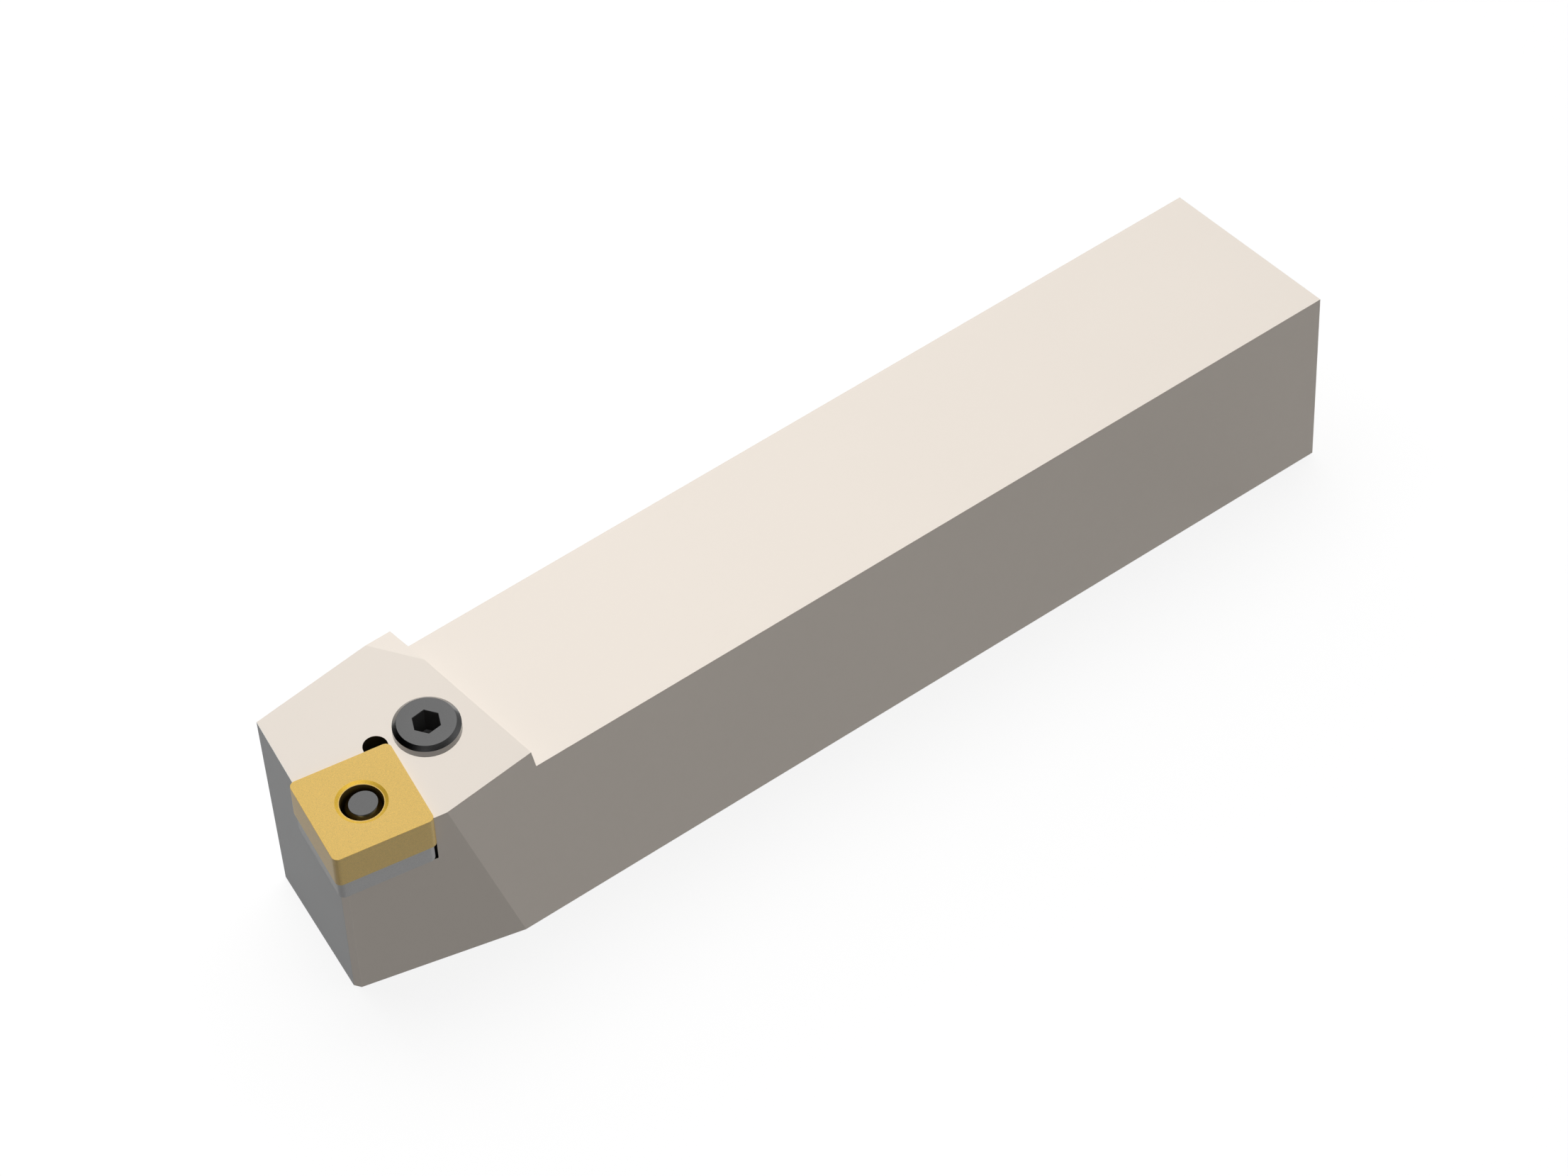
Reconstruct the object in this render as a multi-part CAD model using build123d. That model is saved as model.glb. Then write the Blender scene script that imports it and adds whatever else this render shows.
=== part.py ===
from build123d import *
from math import atan2, cos, degrees, radians, sin, sqrt, tan
import os

# A right-hand external turning tool for a lathe. A square carbide insert sits in a pocket at the
# front and is held by a lever that a screw pulls down. Millimetres; x runs from the rear end to
# the cutting end, y towards the cutting side, z up from the face that rests in the tool post.

# ---- Holder: the standard sizes of a 75 degree tool with a 25 x 25 shank
shank_width = 25.0
shank_height = 25.0
tool_length = 150.0
functional_width = 22.0       # from the far side of the shank to the cutting corner
cutting_height = shank_height    # from the base to the cutting corner
approach_angle = 75.0
rake_angle = 6.0              # the insert dips by this along both of its edge directions
head_length = 27.0            # from the cutting corner back to the foot of the step
head_rise = 4.0               # the flat top of the head above the shank
step_lean = 15.0              # the step's face leans forward from upright

# ---- Insert
insert_size = 12.7
insert_thickness = 4.76
corner_radius = 0.8
insert_hole = 5.16
rim_width = 0.48              # the sloped rim round the insert's hole
rim_depth = 0.14
rim_fillet = 0.1
insert_proud = 0.5            # the insert's top above the head's sloping top
insert_overhang = 0.65        # how far the insert stands out of the holder's front and side

# ---- Shim and its split pin
shim_size = 12.15
shim_thickness = 3.18
shim_wall_gap = 0.275         # between the shim and each wall of the pocket
shim_corner_radius = 0.8
shim_chamfer = 0.4
pin_diameter = 7.0
pin_bore = 5.7
pin_length = 4.4
pin_below_shim_top = 0.6
pin_slit = 1.0
pin_chamfer = 0.3

# ---- Pocket
corner_edge_chamfer = 0.7     # on the holder's own edge under the cutting corner
relief_diameter = 3.0
relief_past_wall = 0.5        # the relief hole's centre beyond the wall that it runs into
relief_extra_depth = 0.3

# ---- Lever, drawn in its own upright plane: along to the screw, up along the insert's hole
lever_top_below_insert = 0.5
lever_height = 13.75          # from its top to the bottom of its heel
lever_thickness = 3.8
lever_crown_radius = 1.75     # the flat top of the head
lever_head_radius = 2.2
lever_crown_depth = 0.6
lever_head_band = 0.9
lever_neck_radius = 1.8
lever_neck_start = 2.6        # below the top
lever_neck_end = 8.2
lever_heel_radius = 2.0
lever_flat_half = 1.52        # half the distance across the two flats on the crown
lever_tip_radius = 1.4
lever_tip_lift = 0.75         # the tip's underside above the bottom of the heel
lever_root_start = 10.0       # where the neck has widened to the heel's radius, below the top
lever_edge_fillet = 0.35
lever_head_shift = 0.24       # how far the clamped head leans to the screw
heel_clearance = 0.05

# ---- Lever screw
screw_distance = 12.75        # between the axes of the insert's hole and of the screw
screw_bearing = 29.3          # turned from the insert's rear edge direction
screw_diameter = 8.0
screw_length = 21.0
screw_proud = 1.43            # the screw's end face above the head's sloping top
screw_chamfer = 0.5
screw_foot_chamfer = 0.8
screw_waist_radius = 2.3
waist_fillet = 0.3
screw_collar_length = 11.1    # from the screw's top to the waist
waist_height = 3.85
hex_across_flats = 3.0
hex_depth = 3.6
hex_turn = 15.0

# ---- Clearances
fit_clearance = 0.05          # radial, of what runs or slides in a bore
tip_clearance = 0.25          # between the lever's tip and the screw's waist
slot_side_clearance = 0.3
pin_ledge = 0.25              # the step that the split pin stands on
margin = 1.0                  # how far a cutter runs past what it cuts

# ---- The frame of the pocket, tilted in both directions
lead = radians(90.0 - approach_angle)
dip = tan(radians(rake_angle))
along = Vector(cos(lead), -sin(lead), -dip).normalized()
up = Vector(dip * (cos(lead) + sin(lead)), dip * (cos(lead) - sin(lead)), 1.0).normalized()
aside = up.cross(along)

# The length is measured to the rounded corner, so the sharp corner lies a little past it.
corner_past = corner_radius * (along.X + aside.X - sqrt(1.0 - up.X ** 2)) / along.X
cutting_point = Vector(tool_length, functional_width - shank_width / 2, cutting_height)
sharp_corner = cutting_point + along * corner_past
half_insert = insert_size / 2
pocket_origin = sharp_corner - (along + aside) * half_insert - up * insert_proud
pocket_plane = Plane(origin=pocket_origin, x_dir=along, z_dir=up)

# Heights in the pocket's frame, where 0 is the head's sloping top
insert_floor = insert_proud - insert_thickness
pocket_floor = insert_floor - shim_thickness
pin_top = insert_floor - pin_below_shim_top
pin_seat = pin_top - pin_length
lever_top = insert_proud - lever_top_below_insert
heel_bottom = lever_top - lever_height
pivot_height = heel_bottom + lever_heel_radius
screw_top = screw_proud
screw_bottom = screw_top - screw_length
waist_top = screw_top - screw_collar_length
waist_bottom = waist_top - waist_height

# Radii and places worked out from the sizes above
pin_radius = pin_diameter / 2
pin_hole_radius = pin_radius + fit_clearance
screw_radius = screw_diameter / 2
screw_hole_radius = screw_radius + fit_clearance
lever_bore_radius = pin_hole_radius - pin_ledge
bearing = radians(180.0 + screw_bearing)
screw_x = screw_distance * cos(bearing)
screw_y = screw_distance * sin(bearing)
tip_reach = screw_distance - screw_waist_radius - tip_clearance
outer_wall = half_insert - insert_overhang
reach = tool_length + shank_width + shank_height    # longer than any cut through the holder
clamped_lean = degrees(atan2(lever_head_shift, lever_top - pivot_height))

# The lever's plane: its x runs to the screw and its y runs up
lever_plane = Plane(
    origin=(0, 0, 0),
    x_dir=(cos(bearing), sin(bearing), 0),
    z_dir=(sin(bearing), -cos(bearing), 0),
)


def in_pocket(shape):
    """Places a shape that was made in the pocket's frame."""
    return pocket_plane.location * shape


def column(x, y, low, high, radius):
    """An upright cylinder in the pocket's frame."""
    return Pos(x, y, (low + high) / 2) * Cylinder(radius, high - low)


def block(x_low, x_high, y_low, y_high, z_low, z_high):
    """A box by its limits."""
    centre = Pos((x_low + x_high) / 2, (y_low + y_high) / 2, (z_low + z_high) / 2)
    return centre * Box(x_high - x_low, y_high - y_low, z_high - z_low)


def turned(points):
    """A solid turned about the z axis from points of radius and height."""
    outline = Polyline(*[(radius, 0, height) for radius, height in points], close=True)
    return revolve(make_face(outline), Axis.Z)


def hex_socket(mouth, direction):
    """A hexagon socket's space, opening at mouth; direction is 1 for up and -1 for down."""
    flat_radius = hex_across_flats / 2
    across = Rot(0, 0, hex_turn) * RegularPolygon(flat_radius, 6, major_radius=False)
    flat_end = mouth - direction * hex_depth
    prism = extrude(Pos(0, 0, flat_end) * across, direction * (hex_depth + margin))
    drill_tip = flat_end - direction * flat_radius * tan(radians(30.0))
    cone = turned([(0, drill_tip), (flat_radius, flat_end), (0, flat_end)])
    return prism + cone


def holder_blank():
    """The shank and the raised head, still square at the front."""
    step_foot = tool_length - head_length
    head_top = shank_height + head_rise
    step_crest = step_foot + head_rise * tan(radians(step_lean))
    front = tool_length + margin
    side_view = Polyline(
        (0, 0, 0),
        (front, 0, 0),
        (front, 0, head_top),
        (step_crest, 0, head_top),
        (step_foot, 0, shank_height),
        (0, 0, shank_height),
        close=True,
    )
    face = Pos(0, shank_width / 2, 0) * make_face(side_view)
    return extrude(face, shank_width, dir=(0, -1, 0))


def outer_trims():
    """What is milled off round the head: its sloping top, its front, its side and its corner."""
    top = block(-reach, reach, -reach, reach, 0, reach)
    front = block(outer_wall, reach, -reach, reach, -reach, reach)
    side = block(-reach, reach, outer_wall, reach, -reach, reach)
    corner = Pos(outer_wall, outer_wall, 0) * Rot(0, 0, 45)
    corner = corner * block(-corner_edge_chamfer / sqrt(2), reach, -reach, reach, -reach, reach)
    return [top, front, side, corner]


def pocket_space():
    """The insert's and shim's pocket, with the relief hole in its inner corner."""
    wall = -half_insert
    seat = block(wall, reach, wall, reach, pocket_floor, reach)
    relief_x = wall + relief_diameter / 2
    relief_y = wall - relief_past_wall
    relief_bottom = pocket_floor - relief_extra_depth
    relief = column(relief_x, relief_y, relief_bottom, margin, relief_diameter / 2)
    return [seat, relief]


def lever_space():
    """The pin's bore, the lever's bore under it and the slot across to the screw."""
    floor = heel_bottom - heel_clearance
    pin_bore_space = column(0, 0, pin_seat, pocket_floor + margin, pin_hole_radius)
    lever_bore = column(0, 0, floor, pin_seat + margin, lever_bore_radius)
    slot_half = lever_thickness / 2 + slot_side_clearance
    slot = block(0, screw_distance, -slot_half, slot_half, floor, pin_seat)
    slot = Rot(0, 0, degrees(bearing)) * slot
    return [pin_bore_space, lever_bore, slot]


def make_holder():
    body = holder_blank()
    for cutter in outer_trims():
        body -= in_pocket(cutter)
    for cutter in pocket_space() + lever_space():
        body -= in_pocket(cutter)
    screw_bore = column(screw_x, screw_y, -reach, reach, screw_hole_radius)
    return body - in_pocket(screw_bore)


def rounded_square(size, radius, low, high):
    outline = RectangleRounded(size, size, radius)
    return extrude(Pos(0, 0, low) * outline, high - low)


def make_insert():
    plate = rounded_square(insert_size, corner_radius, insert_floor, insert_proud)
    hole_radius = insert_hole / 2
    rim_radius = hole_radius + rim_width
    hole = turned([
        (0, insert_floor),
        (rim_radius, insert_floor),
        (hole_radius, insert_floor + rim_depth),
        (hole_radius, insert_proud - rim_depth),
        (rim_radius, insert_proud),
        (0, insert_proud),
    ])
    plate -= hole
    inner_rims = plate.edges().filter_by(GeomType.CIRCLE).filter_by(
        lambda edge: abs(edge.radius - hole_radius) < 0.01)
    return in_pocket(fillet(inner_rims, rim_fillet))


def make_shim():
    plate = rounded_square(shim_size, shim_corner_radius, pocket_floor, insert_floor)
    plate = chamfer(plate.faces().sort_by(Axis.Z)[0].edges(), shim_chamfer)
    middle = shim_wall_gap + (shim_size - insert_size) / 2
    hole = column(0, 0, pocket_floor - margin, insert_floor + margin, pin_hole_radius)
    return in_pocket(Pos(middle, middle, 0) * plate - hole)


def make_shim_pin():
    bore = pin_bore / 2
    end = pin_radius - pin_chamfer
    tube = turned([
        (bore, pin_seat),
        (end, pin_seat),
        (pin_radius, pin_seat + pin_chamfer),
        (pin_radius, pin_top - pin_chamfer),
        (end, pin_top),
        (bore, pin_top),
    ])
    slit = block(-reach, 0, -pin_slit / 2, pin_slit / 2, pin_seat - margin, pin_top + margin)
    return in_pocket(tube - Rot(0, 0, degrees(bearing)) * slit)


def lever_post():
    """The lever's turned part: crown, head, neck and the root above its heel."""
    drops = [
        (0, 0),
        (lever_crown_radius, 0),
        (lever_head_radius, lever_crown_depth),
        (lever_head_radius, lever_crown_depth + lever_head_band),
        (lever_neck_radius, lever_neck_start),
        (lever_neck_radius, lever_neck_end),
        (lever_heel_radius, lever_root_start),
        (lever_heel_radius, lever_height - lever_heel_radius),
        (0, lever_height - lever_heel_radius),
    ]
    post = turned([(radius, lever_top - drop) for radius, drop in drops])
    slope = degrees(atan2(lever_crown_depth, lever_head_radius - lever_flat_half))
    for side in (1, -1):
        flat = block(-reach, reach, 0, reach, 0, reach)
        flat = Rot(-slope, 0, 0) * flat
        flat = Pos(0, lever_flat_half, lever_top) * flat
        if side < 0:
            flat = Rot(0, 0, 180) * flat
        post -= Rot(0, 0, degrees(bearing)) * flat
    return post


def lever_foot():
    """The lever's flat part: the round heel and the arm that narrows to a round tip."""
    tip_centre = tip_reach - lever_tip_radius
    tip_height = heel_bottom + lever_tip_lift + lever_tip_radius
    heel = Pos(0, pivot_height) * Circle(lever_heel_radius)
    tip = Pos(tip_centre, tip_height) * Circle(lever_tip_radius)
    outline = make_hull((heel + tip).edges())
    plate = extrude(outline, lever_thickness / 2, both=True)
    rims = plate.faces().sort_by(Axis.Z)[0].edges() + plate.faces().sort_by(Axis.Z)[-1].edges()
    return lever_plane.location * fillet(rims, lever_edge_fillet)


def make_lever():
    lever = lever_post() + lever_foot()
    pivot = lever_plane.from_local_coords((0, pivot_height, 0))
    lean_axis = Axis(pivot, lever_plane.z_dir)
    return in_pocket(lever.rotate(lean_axis, -clamped_lean))


def make_screw():
    shaft = turned([
        (0, screw_top),
        (screw_radius - screw_chamfer, screw_top),
        (screw_radius, screw_top - screw_chamfer),
        (screw_radius, waist_top),
        (screw_waist_radius, waist_top),
        (screw_waist_radius, waist_bottom),
        (screw_radius, waist_bottom),
        (screw_radius, screw_bottom + screw_foot_chamfer),
        (screw_radius - screw_foot_chamfer, screw_bottom),
        (0, screw_bottom),
    ])
    waist_corners = shaft.edges().filter_by(GeomType.CIRCLE).filter_by(
        lambda edge: abs(edge.radius - screw_waist_radius) < 0.01)
    shaft = fillet(waist_corners, waist_fillet)
    shaft -= hex_socket(screw_top, 1)
    shaft -= hex_socket(screw_bottom, -1)
    return in_pocket(Pos(screw_x, screw_y, 0) * shaft)


pieces = {
    "holder_body": make_holder,
    "cutting_insert": make_insert,
    "shim": make_shim,
    "shim_pin": make_shim_pin,
    "lever": make_lever,
    "lever_screw": make_screw,
}

os.makedirs("parts", exist_ok=True)
for name, make in pieces.items():
    export_step(make(), "parts/" + name + ".step")
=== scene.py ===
import math

import bmesh
import bpy
from mathutils import Matrix, Vector


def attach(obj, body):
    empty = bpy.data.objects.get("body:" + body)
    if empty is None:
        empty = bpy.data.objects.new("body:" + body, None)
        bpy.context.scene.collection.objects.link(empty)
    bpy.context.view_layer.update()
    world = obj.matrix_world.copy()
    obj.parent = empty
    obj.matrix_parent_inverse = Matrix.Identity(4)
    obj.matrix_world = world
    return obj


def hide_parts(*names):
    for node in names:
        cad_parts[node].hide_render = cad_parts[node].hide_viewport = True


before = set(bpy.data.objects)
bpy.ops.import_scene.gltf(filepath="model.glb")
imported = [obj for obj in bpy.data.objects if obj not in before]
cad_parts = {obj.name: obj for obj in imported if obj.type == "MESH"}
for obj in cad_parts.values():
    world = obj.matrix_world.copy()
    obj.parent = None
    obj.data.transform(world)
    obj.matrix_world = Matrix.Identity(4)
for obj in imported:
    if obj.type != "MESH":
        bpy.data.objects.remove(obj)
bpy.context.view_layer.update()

# ---- Sizes, in millimetres
MM = 0.001
TOOL_LENGTH = 150.0
FUNCTIONAL_WIDTH = 22.0
SHANK_WIDTH = 25.0
CUTTING_HEIGHT = 25.0
LEAD = math.radians(15.0)
RAKE = math.radians(6.0)
INSERT_SIZE = 12.7
INSERT_THICKNESS = 4.76
CORNER_RADIUS = 0.8
INSERT_PROUD = 0.5
INSERT_HOLE = 5.16
RIM_WIDTH = 0.53
RIM_DEPTH = 0.175
RIM_LAND = 0.13
INSERT_OVERHANG = 0.65
HEAD_TOP = 29.0
POCKET_WALL = -6.4
POCKET_FLOOR = -7.44
RELIEF_HOLE = (-4.85, -6.85)
RELIEF_RADIUS = 1.5
SHIM_SIZE = 12.15
SHIM_THICKNESS = 3.18
SHIM_HOLE = 7.1
SHIM_CHAMFER = 0.4
SCREW_DISTANCE = 12.75
SCREW_BEARING = math.radians(209.3)
SCREW_TOP = 1.43
SCREW_LENGTH = 21.0
SCREW_RADIUS = 4.0
COLLAR_RADIUS = 4.03
SCREW_CHAMFER = 0.5
FOOT_CHAMFER = 0.8
COLLAR_LENGTH = 11.1
WAIST_RADIUS = 2.3
WAIST_HEIGHT = 3.85
WAIST_FILLET = 0.3
HEX_FLATS = 3.0
HEX_DEPTH = 3.6
HEX_TURN = math.radians(15.0)
LEVER_PIVOT = -11.75
LEVER_LEAN = math.atan2(0.24, 11.75)
LEVER_HEAD_RADIUS = 2.2
CROWN_HALF_ACROSS = 1.66
CROWN_HALF_ALONG = 1.84
CROWN_DEPTH = 0.6
THREAD_PITCH = 1.0
THREAD_DEPTH = 0.61
THREAD_START = 0.25
THREAD_RUN_OUT = 0.6
BORE_RADIUS = 4.05
BORE_THREAD_GAP = 0.4
BORE_THREAD_FOOT = -27.2
SOCKET_FACE_RADIUS = 2.2
SOCKET_LEAD_IN = 0.06
SOCKET_CONE = math.radians(30.0)
ROUND_POINTS = 96


# ---- The pocket's frame: its origin lies on the insert's axis, on the head's sloping top
def pocket_axes():
    dip = math.tan(RAKE)
    along = Vector((math.cos(LEAD), -math.sin(LEAD), -dip)).normalized()
    up = Vector((dip * (math.cos(LEAD) + math.sin(LEAD)),
                 dip * (math.cos(LEAD) - math.sin(LEAD)), 1.0)).normalized()
    aside = up.cross(along)
    past = CORNER_RADIUS * (along.x + aside.x - math.sqrt(1 - up.x ** 2)) / along.x
    corner = Vector((TOOL_LENGTH, FUNCTIONAL_WIDTH - SHANK_WIDTH / 2, CUTTING_HEIGHT))
    origin = corner + along * (past - INSERT_SIZE / 2) - aside * INSERT_SIZE / 2
    origin -= up * INSERT_PROUD
    return along, aside, up, origin


along, aside, up, pocket_origin = pocket_axes()
pocket = Matrix((
    (along.x, aside.x, up.x, pocket_origin.x),
    (along.y, aside.y, up.y, pocket_origin.y),
    (along.z, aside.z, up.z, pocket_origin.z),
    (0, 0, 0, 1),
))
pocket = Matrix.Scale(MM, 4) @ pocket
screw_place = Vector((math.cos(SCREW_BEARING), math.sin(SCREW_BEARING), 0)) * SCREW_DISTANCE
screw_frame = pocket @ Matrix.Translation(screw_place)
lever_side = Vector((math.sin(SCREW_BEARING), -math.cos(SCREW_BEARING), 0))
lever_frame = (pocket @ Matrix.Translation((0, 0, LEVER_PIVOT))
               @ Matrix.Rotation(-LEVER_LEAN, 4, lever_side)
               @ Matrix.Translation((0, 0, -LEVER_PIVOT)))


# ---- Mesh helpers
def softened(profile, radius=0.05, steps=9):
    """The profile with small round edges. A third number on a point is its own edge radius."""
    out = []
    for i, point in enumerate(profile):
        here = Vector(point[:2])
        size = point[2] if len(point) > 2 else radius
        if i in (0, len(profile) - 1) or size == 0:
            out.append(here)
            continue
        before = Vector(profile[i - 1][:2]) - here
        after = Vector(profile[i + 1][:2]) - here
        half = before.angle(after) / 2
        if half > math.radians(88):
            out.append(here)
            continue
        cut = min(size / math.tan(half), 0.45 * before.length, 0.45 * after.length)
        round_radius = cut * math.tan(half)
        middle = here + (before.normalized() + after.normalized()).normalized() * (
            round_radius / math.sin(half))
        start = here + before.normalized() * cut - middle
        end = here + after.normalized() * cut - middle
        turn = start.angle_signed(end)
        for step in range(steps + 1):
            out.append(middle + Matrix.Rotation(-turn * step / steps, 2) @ start)
    return out


def circle_ring(radius, height, angles):
    return [Vector((radius * math.cos(a), radius * math.sin(a), height)) for a in angles]


def hexagon_ring(flats, height, angles):
    ring = []
    for a in angles:
        off = (a - HEX_TURN) % math.radians(60) - math.radians(30)
        radius = flats / 2 / math.cos(off)
        ring.append(Vector((radius * math.cos(a), radius * math.sin(a), height)))
    return ring


def rounded_square_ring(size, radius, height, corner_steps=12, side_steps=12):
    """Points round a square with rounded corners, from the start of its first corner's arc."""
    ring = []
    inner = size / 2 - radius
    for quarter in range(4):
        start = math.radians(90 * quarter)
        centre = Vector((inner, inner, 0))
        turn = Matrix.Rotation(start, 3, "Z")
        for step in range(corner_steps):
            a = math.radians(90) * step / corner_steps
            point = centre + Vector((math.cos(a), math.sin(a), 0)) * radius
            ring.append(turn @ point)
        for step in range(side_steps):
            x = inner - 2 * inner * step / side_steps
            ring.append(turn @ Vector((x, size / 2, 0)))
    return [Vector((p.x, p.y, height)) for p in ring]


def inset_ring(size, inset, height):
    """The outline of the insert or the shim, drawn in by the inset."""
    return rounded_square_ring(size - 2 * inset, CORNER_RADIUS - inset, height)


def rounded_edge(size, height, way, edge):
    """Three rings over a small round edge, from the face at a height onto the side. Way is 1 at the top
    and -1 at the bottom."""
    bulge = 0.3 * edge
    return [inset_ring(size, inset, height - way * drop)
            for inset, drop in ((edge, 0), (bulge, bulge), (0, edge))]


def object_from(bm, name, sharp):
    """Makes the bmesh an object. An edge that bends by more than sharp, in degrees, stays crisp."""
    bmesh.ops.recalc_face_normals(bm, faces=bm.faces)
    for face in bm.faces:
        face.smooth = True
    for edge in bm.edges:
        if edge.calc_face_angle(0) > math.radians(sharp):
            edge.smooth = False
    mesh = bpy.data.meshes.new(name)
    bm.to_mesh(mesh)
    bm.free()
    obj = bpy.data.objects.new(name, mesh)
    bpy.context.scene.collection.objects.link(obj)
    return obj


def mesh_from_rings(name, rings, loop=False, sharp=30.0):
    """One closed mesh from rings with equally many points each, in the pocket's millimetres."""
    bm = bmesh.new()
    rows = [[bm.verts.new(p) for p in ring] for ring in rings]
    count = len(rings[0])
    pairs = list(zip(rows, rows[1:]))
    if loop:
        pairs.append((rows[-1], rows[0]))
    for upper, lower in pairs:
        for i in range(count):
            j = (i + 1) % count
            bm.faces.new((upper[i], upper[j], lower[j], lower[i]))
    if not loop:
        bm.faces.new(rows[0])
        bm.faces.new(rows[-1][::-1])
    bmesh.ops.remove_doubles(bm, verts=bm.verts, dist=1e-5)
    return object_from(bm, name, sharp)


def placed(obj, matrix):
    """Puts the place into the mesh, so the object itself stays at the origin."""
    obj.data.transform(matrix)
    obj.data.update()
    return obj


# ---- Node helpers
def part_node(tree, name):
    return next(n for n in tree.nodes if n.bl_idname == name)


def link_chain(tree, *nodes):
    for left, right in zip(nodes, nodes[1:]):
        tree.links.new(left.outputs[0], right.inputs[0])


def math_node(tree, operation, *values, clamp=False):
    node = tree.nodes.new("ShaderNodeMath")
    node.operation = operation
    node.use_clamp = clamp
    for slot, value in zip(node.inputs, values):
        if isinstance(value, bpy.types.NodeSocket):
            tree.links.new(value, slot)
        else:
            slot.default_value = value
    return node.outputs[0]


# ---- The thread, cut into a turned piece. In halves of a pitch: how far the flat crest reaches from its
# middle, and how wide the flank beside it is.
CREST_FLAT = 0.125
FLANK_WIDTH = 0.625
# points further inside the crest's radius than this, in millimetres, aren't moved
THREAD_REACH = 1.2


def thread_tree():
    """Pulls the wall between two heights into a helical thread: the radius never grows past the wall's."""
    tree = bpy.data.node_groups.new("thread_cutter", "GeometryNodeTree")
    face = tree.interface
    face.new_socket("Geometry", in_out="INPUT", socket_type="NodeSocketGeometry")
    for name, value in (("Crest radius", 4.0), ("Depth", 0.6), ("Pitch", 1.0), ("Low end", 0.0),
                        ("High end", 1.0), ("Run-out", 0.5)):
        socket = face.new_socket(name, in_out="INPUT", socket_type="NodeSocketFloat")
        socket.default_value = value
    face.new_socket("Material", in_out="INPUT", socket_type="NodeSocketMaterial")
    face.new_socket("Geometry", in_out="OUTPUT", socket_type="NodeSocketGeometry")
    given = tree.nodes.new("NodeGroupInput")
    result = tree.nodes.new("NodeGroupOutput")
    place = tree.nodes.new("GeometryNodeInputPosition")
    split = tree.nodes.new("ShaderNodeSeparateXYZ")
    tree.links.new(place.outputs[0], split.inputs[0])
    x, y, z = split.outputs
    pitch = given.outputs["Pitch"]
    turn = math_node(tree, "DIVIDE", math_node(tree, "ARCTAN2", y, x), math.tau)
    climb = math_node(tree, "DIVIDE", z, pitch)
    phase = math_node(tree, "FRACT", math_node(tree, "SUBTRACT", climb, turn))
    from_crest = math_node(tree, "ABSOLUTE", math_node(tree, "MULTIPLY_ADD", phase, 2.0, -1.0))
    past_flat = math_node(tree, "SUBTRACT", from_crest, CREST_FLAT)
    slope = math_node(tree, "DIVIDE", past_flat, FLANK_WIDTH, clamp=True)
    low_fade = math_node(tree, "DIVIDE", math_node(tree, "SUBTRACT", z, given.outputs["Low end"]),
                         given.outputs["Run-out"], clamp=True)
    high_fade = math_node(tree, "DIVIDE", math_node(tree, "SUBTRACT", given.outputs["High end"], z),
                          given.outputs["Run-out"], clamp=True)
    fade = math_node(tree, "MULTIPLY", low_fade, high_fade)
    deep = math_node(tree, "MULTIPLY", math_node(tree, "MULTIPLY", slope, fade), given.outputs["Depth"])
    wanted = math_node(tree, "SUBTRACT", given.outputs["Crest radius"], deep)
    flat_x = math_node(tree, "MULTIPLY", x, x)
    radius = math_node(tree, "SQRT", math_node(tree, "MULTIPLY_ADD", y, y, flat_x))
    scale = math_node(tree, "DIVIDE", math_node(tree, "MINIMUM", radius, wanted), radius)
    join = tree.nodes.new("ShaderNodeCombineXYZ")
    for value, slot in ((math_node(tree, "MULTIPLY", x, scale), 0),
                        (math_node(tree, "MULTIPLY", y, scale), 1), (z, 2)):
        tree.links.new(value, join.inputs[slot])
    within = math_node(tree, "MULTIPLY",
                       math_node(tree, "GREATER_THAN", z, given.outputs["Low end"]),
                       math_node(tree, "LESS_THAN", z, given.outputs["High end"]))
    outside = math_node(tree, "GREATER_THAN", radius,
                        math_node(tree, "SUBTRACT", given.outputs["Crest radius"], THREAD_REACH))
    chosen = math_node(tree, "MULTIPLY", within, outside)
    move = tree.nodes.new("GeometryNodeSetPosition")
    tree.links.new(given.outputs["Geometry"], move.inputs["Geometry"])
    tree.links.new(chosen, move.inputs["Selection"])
    tree.links.new(join.outputs[0], move.inputs["Position"])
    real = tree.nodes.new("GeometryNodeRealizeInstances")
    dress = tree.nodes.new("GeometryNodeSetMaterial")
    tree.links.new(move.outputs[0], real.inputs[0])
    tree.links.new(real.outputs[0], dress.inputs["Geometry"])
    tree.links.new(given.outputs["Material"], dress.inputs["Material"])
    tree.links.new(dress.outputs[0], result.inputs[0])
    return tree


def cut_thread(obj, tree, **sizes):
    """Runs the thread tree on a piece and keeps the result as its plain mesh."""
    modifier = obj.modifiers.new("thread", "NODES")
    modifier.node_group = tree
    for socket in tree.interface.items_tree:
        key = socket.name.lower().replace(" ", "_").replace("-", "_")
        if socket.item_type == "SOCKET" and socket.in_out == "INPUT" and key in sizes:
            modifier[socket.identifier] = sizes[key]
    bpy.context.view_layer.update()
    evaluated = obj.evaluated_get(bpy.context.evaluated_depsgraph_get())
    mesh = bpy.data.meshes.new_from_object(evaluated)
    obj.modifiers.remove(modifier)
    obj.data = mesh
    return obj


# ---- Materials. Colours are linear.
GROUND_STEEL = (0.68, 0.687, 0.69)
# painted shade: near black for the pocket and its relief hole
POCKET_PAINTED_SHADE = (0.012, 0.012, 0.012)
# painted shade: near black for the screw's hexagon socket
SOCKET_PAINTED_SHADE = (0.022, 0.022, 0.022)
# painted reflection: the brown of the insert's gold bore, mirrored in the lever below its top
LEVER_PAINTED_REFLECTION = (0.30, 0.23, 0.09)
# painted light: a lighter gold for the insert's side over the clearance face
FLANK_PAINTED_LIGHT = (0.86, 0.59, 0.155)
# partly the rim's own metallic gold, partly a painted highlight
RIM_GOLD_AND_HIGHLIGHT = (0.95, 0.59, 0.05)
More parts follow.
